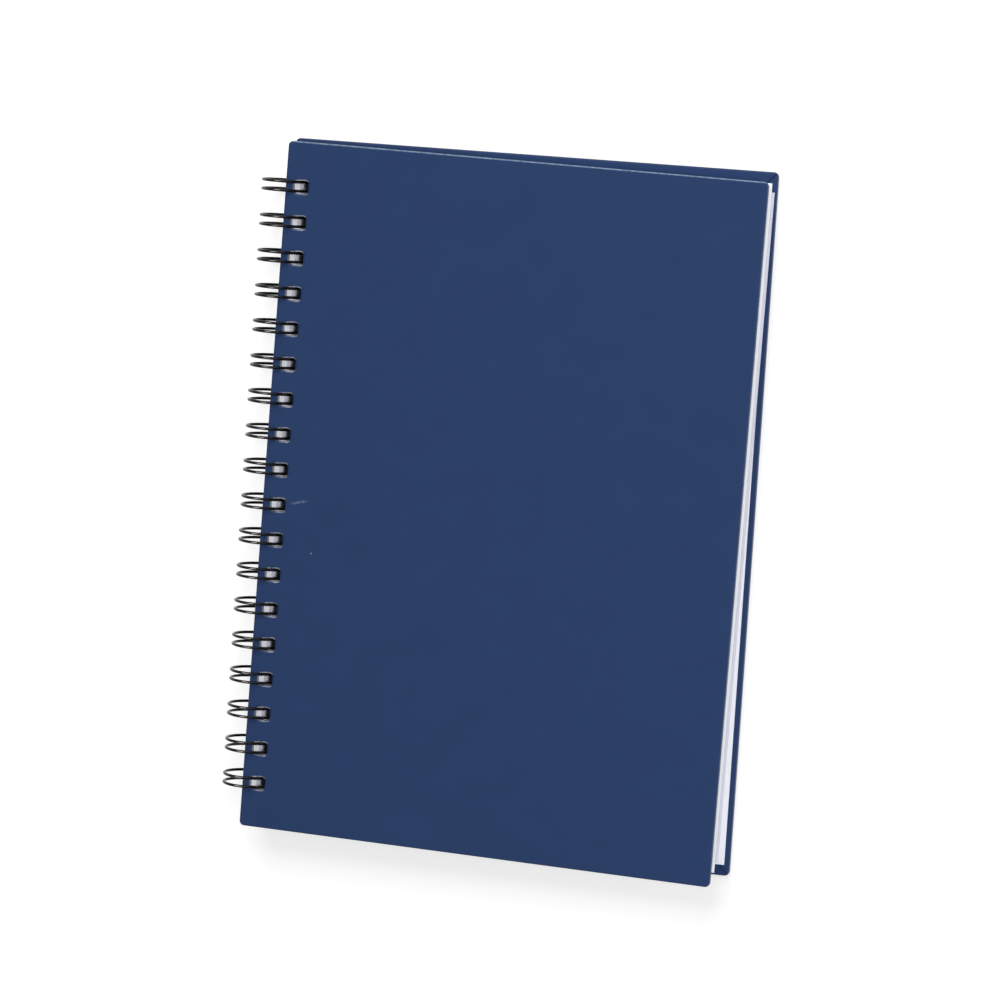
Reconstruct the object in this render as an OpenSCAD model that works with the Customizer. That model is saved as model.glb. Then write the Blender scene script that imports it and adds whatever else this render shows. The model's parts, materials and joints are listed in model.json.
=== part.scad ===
// Hard-cover A5 notebook on a twin-loop wire, closed and lying on its back cover.
// Millimetres. X runs from the spine to the fore-edge, Y to the head, Z up through the front cover.

/* [Covers] */
// Width of the front cover, from spine edge to fore-edge
cover_w = 152.5; // [140:0.5:170]
// Height of the front cover, from tail to head
cover_h = 215; // [208:0.5:240]
// Width that the back cover has over the front one
back_extra_w = 1.8; // [0:0.1:2.4]
// Height that the back cover has over the front one
back_extra_h = 0.7; // [0:0.1:2]
// How far the back cover's sides sit towards the head from the middle of its holes
back_up = 0.35; // [0:0.05:1]
// Thickness of a board with its covering
cover_t = 2; // [1.6:0.1:3]
// Radius of a cover's corners, seen from the front
corner_r = 1.5; // [1:0.1:4]
// Radius of the soft arris round a cover
arris_r = 0.45; // [0.2:0.05:0.6]
// Thickness of the covering material
covering_t = 0.25; // [0.2:0.05:0.4]
// Width of the covering that is turned in behind the board
turn_in_w = 12; // [10:1:16]
// Thickness of the paper pasted inside a cover
pastedown_t = 0.15; // [0.1:0.05:0.3]
// Width of the crease where two turned-in sides meet at a corner
crease_w = 0.12; // [0.08:0.02:0.2]
// Strip of turned-in covering left bare at head and tail
bare_y = 3.4; // [2:0.1:6]
// Strip of turned-in covering left bare at spine edge and fore-edge
bare_x = 1.6; // [1:0.1:2.2]

/* [Pages] */
// Width of the pages
page_w = 150.7; // [138:0.1:152]
// Height of the pages
page_h = 205; // [200:0.5:212]
// Thickness of all the pages together
page_block_t = 8.3; // [4:0.1:8.5]
// How far the pages sit towards the head
page_up = 1.7; // [0:0.1:4]
// Height of the loose white leaf in front of the pages
leaf_h = 210; // [204:0.5:214]
// Thickness of that leaf
leaf_t = 0.2; // [0.1:0.05:0.3]
// How far that leaf stands out past the front cover's fore-edge
leaf_out = 0.7; // [0:0.1:1]
// How far that leaf sits towards the head
leaf_up = 1.9; // [0:0.1:2.4]

/* [Binding] */
// Number of twin loops
loop_count = 18; // [10:1:19]
// Distance from one twin loop to the next
loop_pitch = 11; // [10.5:0.1:12]
// Diameter of the wire
wire_d = 0.9; // [0.7:0.05:1]
// Radius of a loop, to the middle of the wire
loop_r = 8; // [7.9:0.05:8.3]
// Distance between the two wires of a loop
twin_gap = 2.8; // [2.6:0.05:2.9]
// Diameter of the wire where a tight bend has drawn it thinner
bend_d = 0.88; // [0.64:0.01:0.88]
// Length by which a thinned bend runs on into the thicker wire next to it
bend_lap = 0.05; // [0.04:0.01:0.1]
// Bend radius where a loop turns into the root bar, to the middle of the wire
root_bend_r = 0.9; // [0.7:0.05:1.1]
// Direction of the seam round a loop, where straight down is -90
seam_deg = -80; // [-84:1:-76]
// Distance along the loop from the root bends to the closed tips
nest_l = 2.4; // [2.35:0.05:3]

/* [Holes] */
// Width of a hole, across the spine
hole_w = 5.2; // [5:0.1:5.6]
// Height of a hole, along the spine
hole_h = 4.2; // [4.1:0.1:4.4]
// Corner radius of a hole
hole_r = 1.1; // [0.6:0.1:1.1]
// Strip of cover or page between its spine edge and its holes
hole_margin = 2.4; // [2:0.1:3]

/* [Lie] */
// Angle by which each cover sits askew on the loops
skew_deg = 0.4; // [0:0.05:0.4]
// Distance from the loops' axis to the spine edge of a cover
cover_x = 0.6; // [0.55:0.05:0.65]
// Distance from the loops' axis to the spine edge of the pages
page_x = 2.1; // [1.9:0.1:2.4]
// Air left between papers that are free to part
ply_gap = 0.05; // [0.02:0.01:0.1]

/* [Hidden] */
$fn = 48;

// Heights above the loops' axis with the notebook closed
inner_z = (page_block_t + leaf_t + 3 * ply_gap) / 2 + pastedown_t;
outer_z = inner_z + cover_t;
block_z = -inner_z + pastedown_t + ply_gap;
leaf_z = block_z + page_block_t + ply_gap;

front_size = [cover_w, cover_h];
back_size = [cover_w + back_extra_w, cover_h + back_extra_h];

// A board fills the covering, and its corners follow
board_t = cover_t - 2 * covering_t;
board_corner_r = corner_r - covering_t;

leaf_w = cover_x + cover_w + leaf_out - page_x;
loop_out_r = loop_r + wire_d / 2;

// A loop's centre lines start and end this far round from the seam's bars
root_deg = seam_deg - atan(root_bend_r / loop_r) + 360;
tip_deg = root_deg - 360 + nest_l / loop_r * 180 / PI;
stub_l = 1.2;

// The notebook rests on the loops and on the fore-edge of its back cover
reach_x = (cover_x + back_size.x) * cos(skew_deg)
    + (back_size.y / 2 - corner_r - back_up) * sin(skew_deg);
lie_deg = asin(loop_out_r / norm([reach_x, outer_z])) - atan(outer_z / reach_x);
leaf_reach_x = (page_x + leaf_w) * cos(skew_deg) + (leaf_h / 2 + leaf_up) * sin(skew_deg);
right_x = max(
    leaf_reach_x * cos(lie_deg) + (leaf_z + leaf_t) * sin(lie_deg),
    reach_x * cos(lie_deg) - (inner_z + arris_r) * sin(lie_deg)
);
centre_x = (right_x - loop_out_r) / 2;

// The back cover reaches furthest towards the head, and the front one towards the tail
head_y = corner_reach_y(back_size) + back_up * cos(skew_deg);
centre_y = (head_y - corner_reach_y(front_size)) / 2;

cover_colour = [0.19, 0.26, 0.4];
board_colour = [0.55, 0.53, 0.5];
paper_colour = [0.8, 0.8, 0.86];
leaf_colour = [0.93, 0.94, 0.97];
wire_colour = [0.05, 0.05, 0.06];

// How far along Y a skewed cover's far corner reaches
function corner_reach_y(size) = (cover_x + size.x - corner_r) * sin(skew_deg)
    + (size.y / 2 - corner_r) * cos(skew_deg) + corner_r;

// Places the closed stack as it lies, with the loops' axis as its origin
module at_rest() {
    translate([-centre_x, -centre_y, loop_out_r]) rotate([0, lie_deg, 0]) children();
}

// A cover's own frame has its inner face at height 0 and its outer face above it
module as_front_cover() {
    at_rest() rotate([0, 0, -skew_deg]) translate([cover_x, 0, inner_z]) children();
}

module as_back_cover() {
    at_rest() rotate([0, 0, skew_deg]) mirror([0, 0, 1]) translate([cover_x, 0, inner_z])
        children();
}

module as_pages() {
    at_rest() rotate([0, 0, -skew_deg]) translate([page_x, 0, 0]) children();
}

function loop_y(i) = (i - (loop_count - 1) / 2) * loop_pitch;

// Rectangle with round corners, from x = 0 and even about y = 0
module round_rect(w, h, r) {
    translate([0, r - h / 2]) square([w, h - 2 * r]);
    translate([r, -h / 2]) square([w - 2 * r, h]);
    for (x = [r, w - r], y = [r - h / 2, h / 2 - r]) translate([x, y]) circle(r);
}

module round_plate(w, h, t, r) {
    linear_extrude(t) round_rect(w, h, r);
}

// Row of holes through everything from height z0 to height z1
module hole_row(z0, z1) {
    for (i = [0 : loop_count - 1])
        translate([hole_margin, loop_y(i), z0]) round_plate(hole_w, hole_h, z1 - z0, hole_r);
}

// A cover's outer form: straight sides and corners that share one soft arris
module soft_slab(size) {
    side_w = size.x - 2 * corner_r;
    side_h = size.y - 2 * corner_r;
    rotate([90, 0, 0]) translate([0, cover_t / 2, -side_h / 2])
        linear_extrude(side_h) round_rect(size.x, cover_t, arris_r);
    rotate([90, 0, 90]) translate([-size.y / 2, cover_t / 2, corner_r])
        linear_extrude(side_w) round_rect(size.y, cover_t, arris_r);
    for (x = [corner_r, size.x - corner_r], y = [-side_h / 2, side_h / 2])
        translate([x, y, 0]) rotate_extrude() intersection() {
            translate([-corner_r, cover_t / 2]) round_rect(2 * corner_r, cover_t, arris_r);
            square([corner_r, cover_t]);
        }
}

module board_blank(size, up) {
    translate([covering_t, up, covering_t])
        round_plate(size.x - 2 * covering_t, size.y - 2 * covering_t, board_t, board_corner_r);
}

module board(size, up) {
    difference() {
        board_blank(size, up);
        hole_row(0, cover_t);
    }
}

// Creases from the corners of a cover to the inner corners of its turned-in sides
module mitre_creases(size) {
    for (x = [0, size.x], y = [-size.y / 2, size.y / 2])
        translate([x, y, 0]) rotate([0, 0, atan2(-sign(y), x > 0 ? -1 : 1)])
            translate([0, -crease_w / 2, -crease_w])
                cube([turn_in_w * sqrt(2), crease_w, 2 * crease_w]);
}

module covering(size, up) {
    difference() {
        translate([0, up, 0]) soft_slab(size);
        translate([0, up, 0]) mitre_creases(size);
        board_blank(size, up);
        translate([turn_in_w, up + turn_in_w - size.y / 2, -1])
            cube([size.x - 2 * turn_in_w, size.y - 2 * turn_in_w, 1 + 2 * covering_t]);
        hole_row(-1, cover_t + 1);
    }
}

// The pasted paper laps over the turned-in covering and lies on the board between
module pastedown(size, up) {
    difference() {
        union() {
            translate([bare_x, up + bare_y - size.y / 2, -pastedown_t])
                cube([size.x - 2 * bare_x, size.y - 2 * bare_y, pastedown_t]);
            translate([turn_in_w, up + turn_in_w - size.y / 2, -pastedown_t])
                cube([size.x - 2 * turn_in_w, size.y - 2 * turn_in_w, pastedown_t + covering_t]);
        }
        hole_row(-1, 1);
    }
}

module front_covering() {
    color(cover_colour) as_front_cover() covering(front_size, 0);
}

module front_board() {
    color(board_colour) as_front_cover() board(front_size, 0);
}

module front_pastedown() {
    color(leaf_colour) as_front_cover() pastedown(front_size, 0);
}

module back_covering() {
    color(cover_colour) as_back_cover() covering(back_size, back_up);
}

module back_board() {
    color(board_colour) as_back_cover() board(back_size, back_up);
}

module back_pastedown() {
    color(leaf_colour) as_back_cover() pastedown(back_size, back_up);
}

module page_block() {
    color(paper_colour) as_pages() difference() {
        translate([0, page_up - page_h / 2, block_z]) cube([page_w, page_h, page_block_t]);
        hole_row(-inner_z, inner_z);
    }
}

module front_endleaf() {
    color(leaf_colour) as_pages() difference() {
        translate([0, leaf_up - leaf_h / 2, leaf_z]) cube([leaf_w, leaf_h, leaf_t]);
        hole_row(0, inner_z);
    }
}

// Thinned wire bent round a small radius, with each end run a little into its neighbour
module tight_bend(r, deg) {
    lap_deg = bend_lap / r * 180 / PI;
    rotate([0, 0, -lap_deg]) rotate_extrude(angle = deg + 2 * lap_deg)
        translate([r, 0]) circle(d = bend_d);
}

// Frame at an angle round the loop: X outwards, Z onwards round the loop
module round_loop(deg) {
    rotate([0, -deg, 0]) translate([loop_r, 0, 0]) children();
}

// One twin loop: two wires round the stack, joined by the closed tip
module twin_loop() {
    for (y = [-twin_gap / 2, twin_gap / 2])
        translate([0, y, 0]) rotate([90, 0, 0]) rotate([0, 0, tip_deg])
            rotate_extrude(angle = root_deg - tip_deg)
                translate([loop_r, 0]) circle(d = wire_d);
    round_loop(tip_deg) rotate([0, -90, 0]) rotate([0, 0, 90]) tight_bend(twin_gap / 2, 180);
}

// Bends at the root: from a loop's wire into the bar towards the tail, or out of it
module bend_to_tail() {
    round_loop(root_deg) translate([0, -root_bend_r, 0]) rotate([90, 0, 90])
        tight_bend(root_bend_r, 90);
}

module bend_to_head() {
    mirror([0, 1, 0]) bend_to_tail();
}

module root_bar(length) {
    round_loop(root_deg) translate([0, 0, root_bend_r]) rotate([90, 0, 0])
        cylinder(h = length, d = wire_d);
}

module binding_wire() {
    link_l = loop_pitch - twin_gap - 2 * root_bend_r;
    color(wire_colour) at_rest() {
        for (i = [0 : loop_count - 1]) translate([0, loop_y(i), 0]) {
            twin_loop();
            translate([0, -twin_gap / 2, 0]) bend_to_tail();
            translate([0, twin_gap / 2, 0]) bend_to_head();
            translate([0, -twin_gap / 2 - root_bend_r, 0])
                root_bar(i == 0 ? stub_l : link_l);
        }
        translate([0, loop_y(loop_count - 1) + twin_gap / 2 + root_bend_r + stub_l, 0])
            root_bar(stub_l);
    }
}

binding_wire();
back_covering();
back_board();
back_pastedown();
page_block();
front_endleaf();
front_pastedown();
front_board();
front_covering();
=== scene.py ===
# %% [markdown]
# # A wire-bound notebook, dressed for its picture
#
# The notebook is already built to size: nine solids that lie as a closed book on a table.
# Here each of them gets the finish of the real material, the block of pages is cut into the
# leaves that it stands for, and a camera and a studio are set up to match the photograph.
# Everything is in metres, X runs from the spine to the fore-edge, Y to the head and Z up.

# %% Load the frame
import json
import math
import random

import bpy
from mathutils import Matrix, Vector


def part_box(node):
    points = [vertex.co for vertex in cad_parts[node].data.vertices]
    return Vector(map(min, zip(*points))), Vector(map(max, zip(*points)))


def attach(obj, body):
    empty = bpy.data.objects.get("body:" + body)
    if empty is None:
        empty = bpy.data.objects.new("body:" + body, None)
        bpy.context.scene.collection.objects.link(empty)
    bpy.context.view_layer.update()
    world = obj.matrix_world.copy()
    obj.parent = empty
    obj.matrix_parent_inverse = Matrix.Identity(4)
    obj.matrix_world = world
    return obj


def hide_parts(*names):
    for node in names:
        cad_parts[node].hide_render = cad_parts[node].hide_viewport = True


MM = 0.001

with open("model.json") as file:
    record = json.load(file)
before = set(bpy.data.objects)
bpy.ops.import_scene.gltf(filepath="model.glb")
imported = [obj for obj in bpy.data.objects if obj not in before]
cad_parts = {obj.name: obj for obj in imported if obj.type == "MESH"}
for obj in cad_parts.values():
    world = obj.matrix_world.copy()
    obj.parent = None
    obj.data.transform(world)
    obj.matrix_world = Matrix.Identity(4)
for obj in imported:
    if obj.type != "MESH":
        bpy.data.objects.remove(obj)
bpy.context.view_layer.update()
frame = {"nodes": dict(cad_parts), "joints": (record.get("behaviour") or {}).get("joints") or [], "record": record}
nodes = frame["nodes"]

# %% [markdown]
# ## The book's own axes
#
# The loops stand proud of the back cover, so the book lies with a slight tilt, under one
# degree. The record of the model states the direction in which the back cover faces, and
# the leaves are stacked in the opposite direction. The pages also sit a fraction of a
# degree askew on the loops. Their solid's two fore-edge corners tell by how much. Patterns
# that follow an edge, and the new leaves, need both angles.

# %% Directions of the stack
resting_side = frame["record"]["mounts"][0]
stack_up = -Vector(resting_side["axis"]).normalized()
lie_angle = math.atan2(stack_up.x, stack_up.z)
hinge_place = Vector(frame["joints"][0]["pos_m"])
stack_turn = Matrix.Translation(hinge_place) @ Matrix.Rotation(lie_angle, 4, "Y")


def corners_in(turn, node):
    """The corners of a node's mesh as seen in a turned frame."""
    back = turn.inverted()
    return [back @ vertex.co for vertex in nodes[node].data.vertices]


def skew_of(node):
    """The angle by which a node's fore-edge is turned from Y, from its two ends."""
    points = corners_in(stack_turn, node)
    head = max(points, key=lambda p: p.x + p.y)
    tail = max(points, key=lambda p: p.x - p.y)
    return math.atan2(tail.x - head.x, head.y - tail.y)


page_skew = skew_of("page_block")
page_frame = stack_turn @ Matrix.Rotation(page_skew, 4, "Z")
print("lie", round(math.degrees(lie_angle), 2), "pages askew", round(math.degrees(page_skew), 2))

# %% [markdown]
# ## Colours
#
# A colour is written as the hex value that an artist reads off a screen. Blender mixes light
# in linear values, so one function undoes the curve of the screen, as the sRGB standard
# gives it.

# %% Hex colours


def colour(hex_value):
    """An sRGB hex colour as the linear value that Blender's shaders use."""
    channels = [int(hex_value[i:i + 2], 16) / 255 for i in (1, 3, 5)]
    linear = [c / 12.92 if c <= 0.04045 else ((c + 0.055) / 1.055) ** 2.4 for c in channels]
    return (*linear, 1)


# %% [markdown]
# ## Nodes
#
# A material is a graph of nodes. In the editor one adds a node, picks its settings, types
# values into its sockets and drags links to them. One function does all four here, so that
# a line of script reads like one node on the screen. Two sets of settings come back often:
# a soft step between two distances, and a mix of two colours.

# %% One node in one line
SOFT = {"interpolation_type": "SMOOTHSTEP"}
COLOURS = {"data_type": "RGBA"}


def add(tree, kind, *inputs, **named):
    """Adds a node and fills its inputs in the order in which the editor shows them.

    A name in small letters is a setting of the node. A name with a capital is the label of
    an input, with _ for a space. What goes in is a value, a socket to link, or a node,
    which is linked by the first output that it shows.
    """
    node = tree.nodes.new("ShaderNode" + kind)
    for name, value in named.items():
        if name[0].islower():
            setattr(node, name, value)
    fillings = list(zip([socket for socket in node.inputs if socket.enabled], inputs))
    for name, value in named.items():
        if name[0].isupper():
            fillings.append((node.inputs[name.replace("_", " ")], value))
    for socket, value in fillings:
        if isinstance(value, bpy.types.Node):
            value = next(output for output in value.outputs if output.enabled)
        if isinstance(value, bpy.types.NodeSocket):
            tree.links.new(value, socket)
        else:
            socket.default_value = value
    return node


# %% [markdown]
# A new material starts empty, and a finished one takes the place of whatever the piece wore
# before.

# %% Start a material and put it on


def new_material(name):
    """An empty material and its tree of nodes."""
    material = bpy.data.materials.new(name)
    material.use_nodes = True
    material.node_tree.nodes.clear()
    return material, material.node_tree


def dress(obj, material):
    """Puts one material on a whole piece."""
    obj.data.materials.clear()
    obj.data.materials.append(material)


# %% [markdown]
# ## Covering: navy paper with a soft-touch film
#
# A hard cover like this is grey board wrapped in navy paper that carries a thin matt film.
# Wear on it could be painted on a picture and wrapped round the cover, but that turns blurry
# close up. Here the material works out how far each point lies from the cover's edges and
# from its holes, and the wear, the painted highlights, the painted shade in the folds and the
# pressed edges follow from those distances.
#
# The first step is a point's place on the cover. Three Mapping nodes undo the place of the
# hinge, the tilt of the stack and the skew of the cover, one after the other.

# %% Place on a cover
COVER_FROM_AXIS = 0.6 * MM


def cover_coordinates(tree, skew):
    """X from the spine edge of a cover and Y from its middle, square to its edges."""
    place = add(tree, "TexCoord").outputs["Object"]
    moved = add(tree, "Mapping", place, Location=tuple(-hinge_place))
    level = add(tree, "Mapping", moved, Rotation=(0, -lie_angle, 0))
    square = add(tree, "Mapping", level, Location=(-COVER_FROM_AXIS, 0, 0),
                 Rotation=(0, 0, -skew))
    split = add(tree, "SeparateXYZ", square)
    return split.outputs["X"], split.outputs["Y"]


# %% [markdown]
# The covers are rectangles, and the back one is a little larger and reaches a little
# further at the head. Two distances are enough for everything that happens along an edge.

# %% Distances from the edges
FRONT_SIZE = (152.5 * MM, 215 * MM)
BACK_SIZE = (154.3 * MM, 215.7 * MM)
BACK_UP = 0.35 * MM


def distances_from_edges(tree, x, y, size, up):
    """Distances inside the nearer side and the nearer end of a cover."""
    from_fore_edge = add(tree, "Math", size[0], x, operation="SUBTRACT")
    from_sides = add(tree, "Math", x, from_fore_edge, operation="MINIMUM")
    centred = add(tree, "Math", y, up, operation="SUBTRACT")
    from_middle = add(tree, "Math", centred, operation="ABSOLUTE")
    from_ends = add(tree, "Math", size[1] / 2, from_middle, operation="SUBTRACT")
    return from_sides, from_ends


# %% [markdown]
# The punch leaves one hole at each pitch. The remainder of a division by the pitch gives a
# point's place within its own pitch, so a single hole, drawn as a rectangle with rounded
# corners, serves the whole row.

# %% Distance from the holes
HOLE_MARGIN = 2.4 * MM
HOLE_WIDTH = 5.2 * MM
HOLE_HEIGHT = 4.2 * MM
HOLE_CORNER = 1.1 * MM
HOLE_PITCH = 11.0 * MM
HOLE_COUNT = 18
BELOW_TAIL = 50 * HOLE_PITCH


def place_by_hole(tree, x, y):
    """X and Y from the middle of the nearest hole, where Y is never negative."""
    # A remainder needs a positive number, so Y is counted from far below the tail
    from_below = add(tree, "Math", y, BELOW_TAIL, operation="ADD")
    in_pitch = add(tree, "Math", from_below, HOLE_PITCH, operation="MODULO")
    along = add(tree, "Math", in_pitch, HOLE_PITCH / 2, operation="SUBTRACT")
    across = add(tree, "Math", x, HOLE_MARGIN + HOLE_WIDTH / 2, operation="SUBTRACT")
    return across, add(tree, "Math", along, operation="ABSOLUTE")


def distance_from_holes(tree, x, y):
    """Distance outside the nearest hole of the row, which is even about Y = 0."""
    across, along = place_by_hole(tree, x, y)
    aside = add(tree, "Math", across, operation="ABSOLUTE")
    over_x = add(tree, "Math", aside, HOLE_WIDTH / 2 - HOLE_CORNER, operation="SUBTRACT")
    over_x = add(tree, "Math", over_x, 0.0, operation="MAXIMUM")
    over_y = add(tree, "Math", along, HOLE_HEIGHT / 2 - HOLE_CORNER, operation="SUBTRACT")
    over_y = add(tree, "Math", over_y, 0.0, operation="MAXIMUM")
    over = add(tree, "CombineXYZ", over_x, over_y)
    reach = add(tree, "VectorMath", over, operation="LENGTH")
    from_hole = add(tree, "Math", reach, HOLE_CORNER, operation="SUBTRACT")
    from_middle = add(tree, "Math", y, operation="ABSOLUTE")
    past_row = add(tree, "Math", from_middle, HOLE_COUNT / 2 * HOLE_PITCH, operation="SUBTRACT")
    return add(tree, "Math", from_hole, past_row, operation="MAXIMUM")


# %% [markdown]
# Each mark on the cover, wear as well as painted highlight and shade, is a strength between
# nothing and one. It is the product of simple conditions: close enough to an edge, on a face
# that looks the right way, and where a noise pattern is high, since no real wear is even and
# the painted light is broken up alike. The strength then mixes another colour in.

# %% Conditions of a mark


def overlap(tree, first, *others):
    """Strong only where all the given strengths are."""
    for other in others:
        first = add(tree, "Math", first, other, operation="MULTIPLY")
    return first


def facing(tree, direction, start, end):
    """Rises from nothing to one as the surface turns towards a direction."""
    normal = add(tree, "TexCoord").outputs["Normal"]
    towards = add(tree, "VectorMath", normal, tuple(direction), operation="DOT_PRODUCT")
    return add(tree, "MapRange", towards, start, end, 0.0, 1.0, **SOFT)


# %% [markdown]
# Behind the board the covering is turned in, and at each corner two turned-in sides meet in
# a mitre. The line lies where a point is as far from the side as from the end. The gap is a
# tenth of a millimetre in the solid, too fine for its shade to show, so that shade is painted
# on as a wider dark line, on the inner face alone.

# %% Painted shade in the mitre folds
TURN_IN = 12 * MM
TURN_IN_FADE = 1 * MM
FOLD_WIDTH = 0.3 * MM
FOLD_SHADE_DARKNESS = 0.75
INNER_FACE = (0.4, 0.8)


def painted_mitre_shade(tree, from_sides, from_ends, inner_side):
    """How strongly the painted shade of the fold between two turned-in sides shows."""
    difference = add(tree, "Math", from_sides, from_ends, operation="SUBTRACT")
    off_line = add(tree, "Math", difference, operation="ABSOLUTE")
    line = add(tree, "MapRange", off_line, FOLD_WIDTH / 2, FOLD_WIDTH, 1.0, 0.0, **SOFT)
    turned_in = add(tree, "MapRange", from_sides, TURN_IN - TURN_IN_FADE, TURN_IN, 1.0, 0.0,
                    **SOFT)
    inside = facing(tree, inner_side, *INNER_FACE)
    return overlap(tree, line, turned_in, inside, FOLD_SHADE_DARKNESS)


# %% [markdown]
# A pale line runs along the outer arris at the head. It is a painted highlight, where light
# from the head would catch the rounded edge. The line is a few tenths of a millimetre wide
# and stronger in patches.

# %% Painted highlight on the head arris
HIGHLIGHT_REACH = (0.15 * MM, 0.45 * MM)
HIGHLIGHT_PATCHES = (0.35, 0.60)
HIGHLIGHT_LEAST = 0.45
OUTER_FACE = (0.05, 0.3)


def head_arris_highlight(tree, y, head, outer_side, patches, highlight_strength):
    """How strongly the painted highlight along the arris at the head shows."""
    from_head = add(tree, "Math", head, y, operation="SUBTRACT")
    near = add(tree, "MapRange", from_head, *HIGHLIGHT_REACH, 1.0, 0.0, **SOFT)
    outside = facing(tree, outer_side, *OUTER_FACE)
    patchy = add(tree, "MapRange", patches, *HIGHLIGHT_PATCHES, HIGHLIGHT_LEAST * highlight_strength, highlight_strength, **SOFT)
    return overlap(tree, near, outside, patchy)


# %% [markdown]
# As the punch leaves it drags on the film and scuffs the two long sides of each hole. The
# pale mark there is partly that scuff and partly a painted highlight on the pressed rim, most
# on the half towards the fore-edge, which faces the light.

# %% Scuffs and painted highlights round the holes
SCUFF_AND_HIGHLIGHT_REACH = (0.12 * MM, 0.42 * MM)
SCUFF_AND_HIGHLIGHT_PATCHES = (0.38, 0.60)
SCUFF_AND_HIGHLIGHT_LEAST = 0.3
LONG_SIDE = (HOLE_HEIGHT / 2 - 0.5 * MM, HOLE_HEIGHT / 2)
LONG_SIDE_MOST = 0.9
ACROSS_HOLE = (-1.6 * MM, 0.8 * MM)
SPINE_HALF_LEAST = 0.15


def scuffs_and_highlights(tree, x, y, outside_hole, patches):
    """How strongly the film is scuffed round the holes, with a painted highlight on the rims."""
    across, along = place_by_hole(tree, x, y)
    near = add(tree, "MapRange", outside_hole, *SCUFF_AND_HIGHLIGHT_REACH, 1.0, 0.0, **SOFT)
    patchy = add(tree, "MapRange", patches, *SCUFF_AND_HIGHLIGHT_PATCHES, SCUFF_AND_HIGHLIGHT_LEAST, 1.0, **SOFT)
    long_side = add(tree, "MapRange", along, *LONG_SIDE, 0.0, LONG_SIDE_MOST, **SOFT)
    to_fore_edge = add(tree, "MapRange", across, *ACROSS_HOLE, SPINE_HALF_LEAST, 1.0, **SOFT)
    return overlap(tree, near, patchy, long_side, to_fore_edge)


# %% [markdown]
# This notebook has been handled: it has one short scratch and one nick near the holes. Both
# are ovals that fade at the rim, broken up by the same patches. A Mapping node of the
# texture kind moves and turns the cover's coordinates into the scratch's own.

# %% Scratches
SCRATCH_PATCHES = (0.42, 0.60)
SCRATCH_LEAST = 0.25
SCRATCH_TAPER = (0.2, 0.5)

handling = [
    {"middle": (12.2 * MM, -4.0 * MM), "length": 6.4 * MM, "width": 0.55 * MM,
     "lean": math.radians(16), "strength": 0.6},
    {"middle": (17.2 * MM, -19.5 * MM), "length": 0.7 * MM, "width": 0.45 * MM,
     "lean": 0.0, "strength": 0.7},
]


def scratch(tree, x, y, patches, middle, length, width, lean, strength):
    """How strongly one scratch shows."""
    on_cover = add(tree, "CombineXYZ", x, y)
    own = add(tree, "Mapping", on_cover, vector_type="TEXTURE", Location=(*middle, 0),
              Rotation=(0, 0, lean))
    split = add(tree, "SeparateXYZ", own)
    down = add(tree, "Math", split.outputs["X"], operation="ABSOLUTE")
    beside = add(tree, "Math", split.outputs["Y"], operation="ABSOLUTE")
    taper = (share * length for share in SCRATCH_TAPER)
    ends = add(tree, "MapRange", down, *taper, 1.0, 0.0, **SOFT)
    sides = add(tree, "MapRange", beside, 0.0, width, 1.0, 0.0, **SOFT)
    broken = add(tree, "MapRange", patches, *SCRATCH_PATCHES, SCRATCH_LEAST, strength, **SOFT)
    return overlap(tree, ends, sides, broken)


# %% [markdown]
# The covering rolls off a little at the edges of the board, and the punch presses it down
# round each hole. Both slopes are shallow, so a bump that follows the distance draws them
# with no need for a finer mesh. The film itself has a grain that is too fine to see, so it
# is drawn as coarse as it needs to be to break the highlight.

# %% Pressed edges and grain
GRAIN_SIZE = 0.4 * MM
GRAIN_DEPTH = 0.02 * MM
GRAIN_STRENGTH = 0.05
EDGE_REACH = 1.2 * MM
EDGE_DEPTH = 0.05 * MM
PUNCH_REACH = 0.55 * MM
PUNCH_DEPTH = 0.22 * MM


def pressed_surface(tree, place, inside_edge, outside_hole):
    """The surface of the covering, as three bumps on top of each other."""
    grain = add(tree, "TexNoise", place, Scale=1 / GRAIN_SIZE, Detail=2.0)
    edge_roll = add(tree, "MapRange", inside_edge, 0.0, EDGE_REACH, 0.0, 1.0, **SOFT)
    punched = add(tree, "MapRange", outside_hole, 0.0, PUNCH_REACH, 0.0, 1.0, **SOFT)
    fine = add(tree, "Bump", Strength=GRAIN_STRENGTH, Distance=GRAIN_DEPTH, Height=grain)
    rolls = add(tree, "Bump", Strength=1.0, Distance=EDGE_DEPTH, Height=edge_roll, Normal=fine)
    return add(tree, "Bump", Strength=1.0, Distance=PUNCH_DEPTH, Height=punched, Normal=rolls)


# %% [markdown]
# Now the covering is put together. Printed paper under film shows a mottle of about a
# centimetre, so faint that two navy tones a few steps apart are enough. Each mark is mixed
# over what lies below it. A soft-touch film is a clear polymer with an IOR near 1.45, and
# its matting agents leave it a low, broad shine, so the specular level is well under the
# usual half.

# %% Covering material
MOTTLE_SIZE = 12 * MM
PATCH_SIZE = 1.5 * MM


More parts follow.
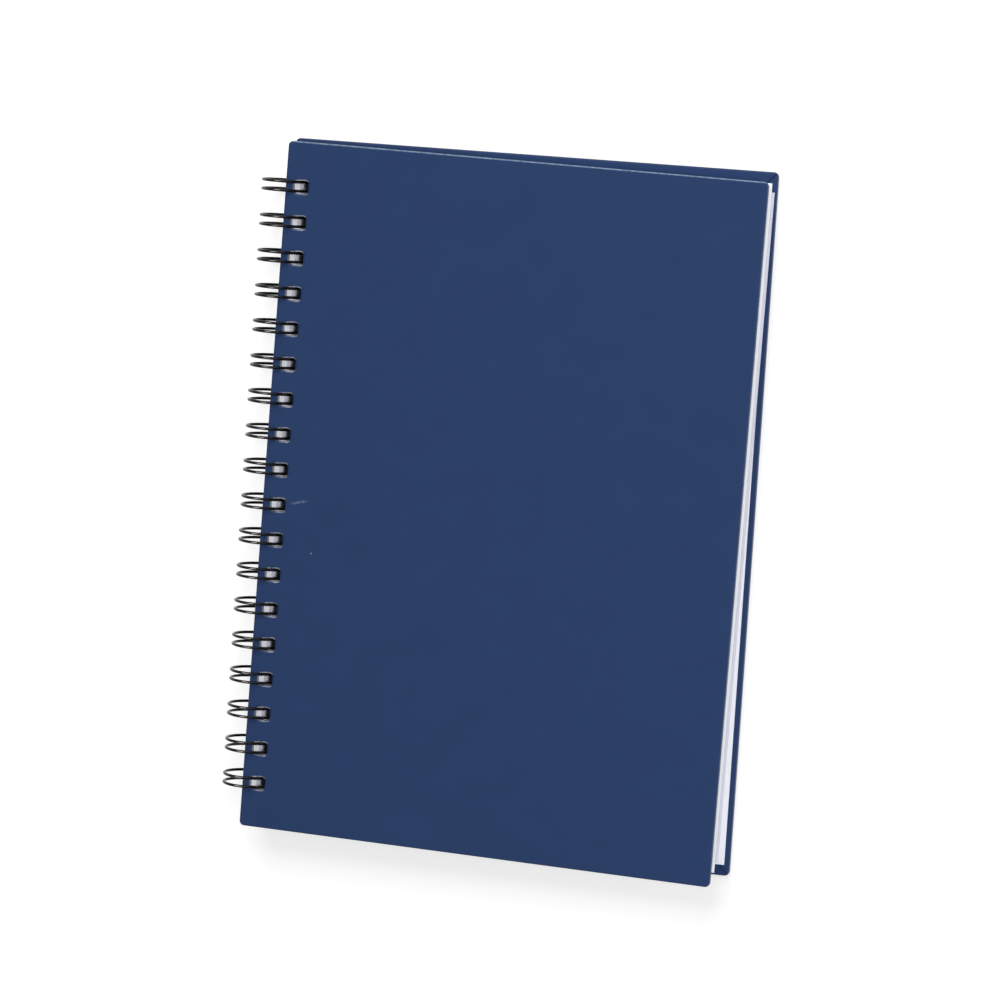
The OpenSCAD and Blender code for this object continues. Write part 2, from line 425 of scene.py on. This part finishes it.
def soft_touch_covering(name, skew, size, up, inner_side, head_highlight=0.0, scratches=()):
    """Navy paper under a soft-touch film, with its wear, painted highlights and painted fold shade."""
    material, tree = new_material(name)
    place = add(tree, "TexCoord").outputs["Object"]
    x, y = cover_coordinates(tree, skew)
    outside_hole = distance_from_holes(tree, x, y)
    from_sides, from_ends = distances_from_edges(tree, x, y, size, up)
    inside_edge = add(tree, "Math", from_sides, from_ends, operation="MINIMUM")
    patches = add(tree, "TexNoise", place, Scale=1 / PATCH_SIZE, Detail=3.0)

    mottle = add(tree, "TexNoise", place, Scale=1 / MOTTLE_SIZE, Detail=3.0)
    layers = add(tree, "Mix", mottle, colour("#283b60"), colour("#2b3f66"), **COLOURS)
    # Painted shade: a dark line along each mitre fold
    fold_shade = painted_mitre_shade(tree, from_sides, from_ends, inner_side)
    layers = add(tree, "Mix", fold_shade, layers, colour("#101a30"), **COLOURS)
    # Painted highlight: a pale line along the arris at the head
    arris_highlight = head_arris_highlight(tree, y, size[1] / 2 + up, -inner_side, patches, head_highlight)
    layers = add(tree, "Mix", arris_highlight, layers, colour("#93b0ca"), **COLOURS)
    # Partly scuffs and partly painted highlight on the pressed rims of the holes
    scuff_and_highlight = scuffs_and_highlights(tree, x, y, outside_hole, patches)
    layers = add(tree, "Mix", scuff_and_highlight, layers, colour("#b3b3c1"), **COLOURS)
    for measures in scratches:
        mark = scratch(tree, x, y, patches, **measures)
        layers = add(tree, "Mix", mark, layers, colour("#8795ad"), **COLOURS)

    surface = pressed_surface(tree, place, inside_edge, outside_hole)
    shader = add(tree, "BsdfPrincipled", Base_Color=layers, Roughness=0.3, IOR=1.45,
                 Specular_IOR_Level=0.2, Normal=surface)
    add(tree, "OutputMaterial", shader)
    return material


# %% [markdown]
# The front cover is askew together with the pages, and the back cover by as much the other
# way. Only the front one, which gets the handling, is scratched, and only it carries the
# painted highlight along its head arris.

# %% Dress both covers
# Strength of the painted highlight along the front cover's head arris
HEAD_HIGHLIGHT = 0.7

front_finish = soft_touch_covering("soft_touch_front", page_skew, FRONT_SIZE, 0.0, -stack_up,
                                   HEAD_HIGHLIGHT, handling)
back_finish = soft_touch_covering("soft_touch_back", -page_skew, BACK_SIZE, BACK_UP, stack_up)
dress(nodes["front_covering"], front_finish)
dress(nodes["back_covering"], back_finish)
for finish in (front_finish, back_finish):
    print(finish.name, "has", len(finish.node_tree.nodes), "nodes")

# %% [markdown]
# ## Papers and boards
#
# Uncoated paper is a felt of short fibres, rough and without shine. To the eye that is a
# soft tone which varies a little from place to place. The loose leaf and the pasted
# endpapers are smooth and nearly white. The boards inside the covers only show in the walls
# of the holes, as grey fibre. All share the same fibres and differ in shade and roughness.

# %% Paper with fibres
FIBRE_SIZE = 0.5 * MM
FIBRE_DEPTH = 0.02 * MM
FIBRE_STRENGTH = 0.25
VARIATION_SHARE = 0.5


def make_paper(tree, place, variation, shade, other_shade, roughness):
    """Finishes a paper whose tone follows its fibres and one more pattern."""
    fibre = add(tree, "TexNoise", place, Scale=1 / FIBRE_SIZE, Detail=4.0, Roughness=0.6)
    tone = add(tree, "Mix", VARIATION_SHARE, fibre, variation)
    base = add(tree, "Mix", tone, colour(shade), colour(other_shade), **COLOURS)
    bump = add(tree, "Bump", Strength=FIBRE_STRENGTH, Distance=FIBRE_DEPTH, Height=fibre)
    shader = add(tree, "BsdfPrincipled", Base_Color=base, Roughness=roughness, IOR=1.5,
                 Specular_IOR_Level=0.25, Normal=bump)
    add(tree, "OutputMaterial", shader)


# %% [markdown]
# A single sheet varies slowly, over a few centimetres, as paper does when it is held against
# the light.

# %% Endpapers and boards
CLOUD_SIZE = 25 * MM


def cloudy_paper(name, shade, other_shade, roughness):
    """A sheet or board whose tone drifts slowly."""
    material, tree = new_material(name)
    place = add(tree, "TexCoord").outputs["Object"]
    cloud = add(tree, "TexNoise", place, Scale=1 / CLOUD_SIZE, Detail=2.0)
    make_paper(tree, place, cloud, shade, other_shade, roughness)
    return material


white_endpaper = cloudy_paper("white_endpaper", "#eff1f8", "#f6f7fb", 0.7)
grey_board = cloudy_paper("grey_board", "#85848a", "#9b9a9f", 0.9)
for node in ("front_endleaf", "front_pastedown", "back_pastedown"):
    dress(nodes[node], white_endpaper)
for node in ("front_board", "back_board"):
    dress(nodes[node], grey_board)
print("dressed with", white_endpaper.name, "and", grey_board.name)

# %% [markdown]
# ## Pages: a block of single leaves
#
# In the solid model the pages are one block. The real ones are some eighty leaves of writing
# paper, each about a tenth of a millimetre thick, and since the holes are a loose fit on the
# wire, no two leaves lie quite alike. Lines painted on the block would look right from one
# side only, so one leaf is cut out with its holes and copied up the stack. The block itself
# is then hidden and only serves for collisions.
#
# The first leaf is a cube, scaled to the block's outline and to one leaf's thickness. The
# cube is made level, with the block's own frame as its world, and turned into its place
# when the stack is complete.

# %% Cut one leaf
LEAF_COUNT = 80
LEAF_SHARE_OF_PITCH = 0.94

block_points = corners_in(page_frame, "page_block")
block_low = Vector([min(p[i] for p in block_points) for i in range(3)])
block_high = Vector([max(p[i] for p in block_points) for i in range(3)])
block_middle = (block_low + block_high) / 2
block_size = block_high - block_low
leaf_pitch = block_size.z / LEAF_COUNT
leaf_thickness = LEAF_SHARE_OF_PITCH * leaf_pitch

bpy.ops.object.select_all(action="DESELECT")
bpy.ops.mesh.primitive_cube_add(size=1, location=block_middle)
leaf = bpy.context.object
leaf.name = "writing_leaves"
leaf.scale = (block_size.x, block_size.y, leaf_thickness)
bpy.ops.object.transform_apply(location=True, rotation=True, scale=True)
print("leaf of", round(leaf_thickness / MM, 3), "mm")

# %% [markdown]
# The holes are punched as in the bindery, by a row of pins. One pin is a cube with its four
# upright edges bevelled to the corner radius of a hole, which leaves each hole with few
# faces. It is long enough to reach through the leaf on both sides.

# %% Shape one pin of the punch
PIN_LENGTH = 4 * MM
CORNER_SEGMENTS = 3

pin_x = block_low.x + HOLE_MARGIN + HOLE_WIDTH / 2
first_y = -(HOLE_COUNT - 1) / 2 * HOLE_PITCH

bpy.ops.object.select_all(action="DESELECT")
bpy.ops.mesh.primitive_cube_add(size=1, location=(pin_x, first_y, block_middle.z))
pin = bpy.context.object
pin.name = "punch_pin"
pin.scale = (HOLE_WIDTH, HOLE_HEIGHT, PIN_LENGTH)
bpy.ops.object.transform_apply(location=False, rotation=False, scale=True)
bpy.ops.object.mode_set(mode="EDIT")
bpy.ops.mesh.select_all(action="DESELECT")
bpy.ops.object.mode_set(mode="OBJECT")
for edge in pin.data.edges:
    a, b = (pin.data.vertices[i].co for i in edge.vertices)
    edge.select = abs(a.z - b.z) > PIN_LENGTH / 2
bpy.ops.object.mode_set(mode="EDIT")
bpy.ops.mesh.bevel(offset=HOLE_CORNER, segments=CORNER_SEGMENTS, affect="EDGES")
bpy.ops.object.mode_set(mode="OBJECT")
print("one pin has", len(pin.data.polygons), "faces")

# %% [markdown]
# The pin is repeated along the spine and the row is joined, so that one Boolean cuts all the
# holes at once. The row of pins is thrown away afterwards.

# %% Punch the holes
pins = [pin]
for i in range(1, HOLE_COUNT):
    bpy.ops.object.duplicate()
    bpy.ops.transform.translate(value=(0, HOLE_PITCH, 0))
    pins.append(bpy.context.object)
for obj in pins:
    obj.select_set(True)
bpy.context.view_layer.objects.active = pin
bpy.ops.object.join()

bpy.ops.object.select_all(action="DESELECT")
leaf.select_set(True)
bpy.context.view_layer.objects.active = leaf
cut = leaf.modifiers.new("punched", "BOOLEAN")
cut.operation = "DIFFERENCE"
cut.object = pin
bpy.ops.object.modifier_apply(modifier=cut.name)
bpy.data.objects.remove(pin)
print("one leaf has", len(leaf.data.polygons), "faces and", len(leaf.data.vertices), "corners")

# %% [markdown]
# The leaf goes to the bottom of the stack and is copied up, each copy shifted by some
# hundredths of a millimetre. The shifts follow a bell curve, as small errors do, but are
# kept short of its rare far ends so that no leaf touches the wire. The random numbers start
# from a fixed seed, so the stack comes out the same each time.

# %% Stack the leaves
SEED = 11
LOOSE = (0.06 * MM, 0.03 * MM)
LOOSE_MOST = 2.0

shuffle = random.Random(SEED)
leaf.location.z += block_low.z + leaf_pitch / 2 - block_middle.z
bpy.ops.object.transform_apply(location=True, rotation=False, scale=False)
stack = [leaf]
for i in range(1, LEAF_COUNT):
    bpy.ops.object.duplicate()
    copy = bpy.context.object
    slip_x, slip_y = (max(-LOOSE_MOST, min(LOOSE_MOST, shuffle.gauss(0, 1))) * loose
                      for loose in LOOSE)
    copy.location = (slip_x, slip_y, i * leaf_pitch)
    stack.append(copy)
for obj in stack:
    obj.select_set(True)
bpy.context.view_layer.objects.active = leaf
bpy.ops.object.join()
leaf.matrix_world = page_frame
bpy.ops.object.transform_apply(location=True, rotation=True, scale=True)
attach(leaf, "pages")
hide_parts("page_block")
print("stack of", LEAF_COUNT, "leaves with", len(leaf.data.polygons), "faces")

# %% [markdown]
# Writing paper is bulkier and greyer than the endpapers, with a touch of lilac in the shade
# of its cut edges. The leaves come from slightly different sheets, so each takes its own
# tone. Its number in the stack, rounded down from the height, picks a random value for it.

# %% Writing paper


def writing_paper():
    """Uncoated paper in which each leaf has its own tone."""
    material, tree = new_material("writing_paper")
    place = add(tree, "TexCoord").outputs["Object"]
    height = add(tree, "VectorMath", place, tuple(stack_up), operation="DOT_PRODUCT")
    first_leaf = (page_frame @ block_low).dot(stack_up)
    from_first = add(tree, "Math", height, first_leaf, operation="SUBTRACT")
    counted = add(tree, "Math", from_first, leaf_pitch, operation="DIVIDE")
    number = add(tree, "Math", counted, operation="FLOOR")
    own_tone = add(tree, "TexWhiteNoise", number, noise_dimensions="1D")
    make_paper(tree, place, own_tone, "#d9d9e8", "#e9e9f1", 0.85)
    return material


leaf_paper = writing_paper()
dress(leaf, leaf_paper)
dress(nodes["page_block"], leaf_paper)
print("dressed the leaves with", leaf_paper.name)

# %% [markdown]
# ## Wire: nylon-coated steel
#
# The loops are steel wire with a thin coat of black nylon, melted on. The coat hides the
# metal, so the material is a plastic: nearly black, with the IOR of nylon and smooth enough
# for long highlights. A faint orange-peel is left from the melting, and it makes the gloss
# and the surface waver a little.

# %% Wire material
PEEL_SIZE = 0.8 * MM
PEEL_DEPTH = 0.01 * MM
PEEL_STRENGTH = 0.15
PEEL_SPREAD = (0.3, 0.7)
GLOSS_SPREAD = (0.14, 0.22)


def nylon_coat():
    """Black nylon with a slight orange-peel."""
    material, tree = new_material("black_nylon_coat")
    place = add(tree, "TexCoord").outputs["Object"]
    peel = add(tree, "TexNoise", place, Scale=1 / PEEL_SIZE, Detail=2.0)
    gloss = add(tree, "MapRange", peel, *PEEL_SPREAD, *GLOSS_SPREAD)
    bump = add(tree, "Bump", Strength=PEEL_STRENGTH, Distance=PEEL_DEPTH, Height=peel)
    shader = add(tree, "BsdfPrincipled", Base_Color=colour("#050506"), Roughness=gloss,
                 IOR=1.53, Specular_IOR_Level=0.2, Normal=bump)
    add(tree, "OutputMaterial", shader)
    return material


black_nylon = nylon_coat()
dress(nodes["binding_wire"], black_nylon)
print("dressed the wire with", black_nylon.name)

# %% [markdown]
# ## The floor
#
# The photograph has a pure white ground with one faint, soft shadow towards the tail. More
# light would turn a floor white, but would bleach the navy too. So the floor is a pale grey
# that takes the shadow as any floor does. To the camera and in reflections it also glows,
# which lifts the grey to white and leaves only the shadow. Far from the lamps it glows a
# little more. Under the book it doesn't, since a floor there would be dark.

# %% Floor
FLOOR_WIDTH = 40
FLOOR_DROP = 0.02 * MM
GLOW_NEAR, GLOW_FAR = 0.675, 0.84
NEAR_TO_FAR = (0.4, 1.6)
UNDER_BOOK_FADE = 3 * MM


def glowing_floor():
    """A matt pale floor that reads as white paper to the camera."""
    material, tree = new_material("pale_floor")
    rays = add(tree, "LightPath").outputs
    seen = add(tree, "Math", rays["Is Camera Ray"], rays["Is Glossy Ray"], operation="MAXIMUM")
    seen = add(tree, "Math", seen, rays["Is Transmission Ray"], operation="MAXIMUM")
    x, y = cover_coordinates(tree, 0.0)
    from_sides, from_ends = distances_from_edges(tree, x, y, FRONT_SIZE, 0.0)
    under_book = add(tree, "Math", from_sides, from_ends, operation="MINIMUM")
    in_the_open = add(tree, "MapRange", under_book, 0.0, UNDER_BOOK_FADE, 1.0, 0.0, **SOFT)
    place = add(tree, "TexCoord").outputs["Object"]
    from_centre = add(tree, "VectorMath", place, operation="LENGTH")
    lift = add(tree, "MapRange", from_centre, *NEAR_TO_FAR, GLOW_NEAR, GLOW_FAR, **SOFT)
    strength = overlap(tree, seen, in_the_open, lift)
    matt = add(tree, "BsdfDiffuse", Color=colour("#e8e8e8"))
    glow = add(tree, "Emission", Color=colour("#ffffff"), Strength=strength)
    both = add(tree, "AddShader", matt, glow)
    add(tree, "OutputMaterial", both)
    return material


bpy.ops.object.select_all(action="DESELECT")
bpy.ops.mesh.primitive_plane_add(size=FLOOR_WIDTH, location=(0, 0, -FLOOR_DROP))
floor = bpy.context.object
floor.name = "studio_floor"
dress(floor, glowing_floor())
print("floor of", FLOOR_WIDTH, "m")

# %% [markdown]
# ## The sky
#
# A dim, even light from all sides fills the shadows. Where a low camera looks past the floor
# it sees the sky itself, and to that camera alone the sky is white too. In the film's broad
# shine a white sky would lie like a grey haze, so reflections see the dim one.

# %% Sky
SKY_LIGHT = 0.20

world = bpy.data.worlds.new("white_room")
bpy.context.scene.world = world
world.use_nodes = True
sky = world.node_tree
sky.nodes.clear()
to_camera = add(sky, "LightPath").outputs["Is Camera Ray"]
sky_strength = add(sky, "Math", to_camera, SKY_LIGHT, operation="MAXIMUM")
background = add(sky, "Background", colour("#ffffff"), sky_strength)
add(sky, "OutputWorld", background)
print("sky at", SKY_LIGHT)

# %% [markdown]
# ## Lamps
#
# Four square softboxes share the work, as in a product studio, and all of them face the
# middle of the book:
#
# - A wide one beyond the head casts the soft shadow towards the tail.
# - One in front of the cover lights the book and nothing else, so the floor gets no second
#   shadow. It is left out of reflections, where it would lie over the film as a haze.
# - A weak one at the fore-edge brings out the leaves.
# - One on the spine's side lights the wire alone and gives the loops their glints.
#
# In a studio, flags on stands keep a lamp off what it shouldn't light. Light linking does the
# same here, with a collection of the objects that may receive it.

# %% Softboxes


def softbox(name, place, size, power):
    """A square soft lamp that faces the middle of the book."""
    bpy.ops.object.light_add(type="AREA", location=place)
    lamp = bpy.context.object
    lamp.name = name
    lamp.data.shape = "SQUARE"
    lamp.data.size = size
    lamp.data.energy = power
    lamp.rotation_euler = (-Vector(place)).to_track_quat("-Z", "Y").to_euler()
    print(name, "of", power, "W")
    return lamp


def light_only(lamp, name, objects):
    """Keeps a lamp's light on some objects."""
    lit = bpy.data.collections.new(name)
    for obj in objects:
        lit.objects.link(obj)
    lamp.light_linking.receiver_collection = lit


front_lamp = softbox("front_softbox", place=(0.78, 0.12, 1.34), size=0.3, power=13.5)
front_lamp.visible_glossy = False
light_only(front_lamp, "lit_from_the_front", [*nodes.values(), leaf])
softbox("head_softbox", place=(-0.1, 0.95, 1.0), size=0.9, power=9.0)
softbox("fore_edge_softbox", place=(1.1, 0.1, 0.55), size=0.6, power=1.5)
wire_lamp = softbox("wire_softbox", place=(-0.65, 0.13, 1.1), size=0.6, power=45.0)
light_only(wire_lamp, "lit_for_its_shine", [nodes["binding_wire"]])

# %% [markdown]
# ## The camera
#
# The photograph looks at the front cover from a little towards the fore-edge and the head,
# through a long lens, with the book's height leaning to the right in the picture. Those
# angles came from the corners of the cover and the spacing of its loops. They are given
# here from the cover as it lies, so the camera looks down on the book.

# %% Camera
TOWARDS_FORE_EDGE = math.radians(16.3)
TOWARDS_HEAD = math.radians(6.13)
LEAN = math.radians(4.49)
DISTANCE = 1.3486
LENS = 158.4
SENSOR_WIDTH = 36
AIM_FROM_CENTRE = Vector((0.59 * MM, 3.61 * MM, 0))
HALF_COVER = 1 * MM

cover_low, cover_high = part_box("front_covering")
cover_face = (cover_low + cover_high) / 2 + stack_up * HALF_COVER
cover_turn = Matrix.Rotation(lie_angle, 3, "Y") @ Matrix.Rotation(page_skew, 3, "Z")
aim = cover_face + cover_turn @ AIM_FROM_CENTRE
towards_camera = Vector((math.sin(TOWARDS_FORE_EDGE) * math.cos(TOWARDS_HEAD),
                         math.sin(TOWARDS_HEAD),
                         math.cos(TOWARDS_FORE_EDGE) * math.cos(TOWARDS_HEAD)))
backwards = (cover_turn @ towards_camera).normalized()
to_head = cover_turn @ Vector((0, 1, 0))
upright = (to_head - backwards * to_head.dot(backwards)).normalized()
camera_up = Matrix.Rotation(LEAN, 3, backwards) @ upright
camera_right = camera_up.cross(backwards)
camera_axes = Matrix((camera_right, camera_up, backwards)).transposed().to_4x4()

bpy.ops.object.camera_add()
camera = bpy.context.object
camera.name = "photo_camera"
camera.data.lens = LENS
camera.data.sensor_width = SENSOR_WIDTH
camera.matrix_world = Matrix.Translation(aim + backwards * DISTANCE) @ camera_axes
bpy.context.scene.camera = camera
bpy.context.scene.view_settings.view_transform = "Standard"
print("camera at", [round(v, 3) for v in camera.matrix_world.translation])
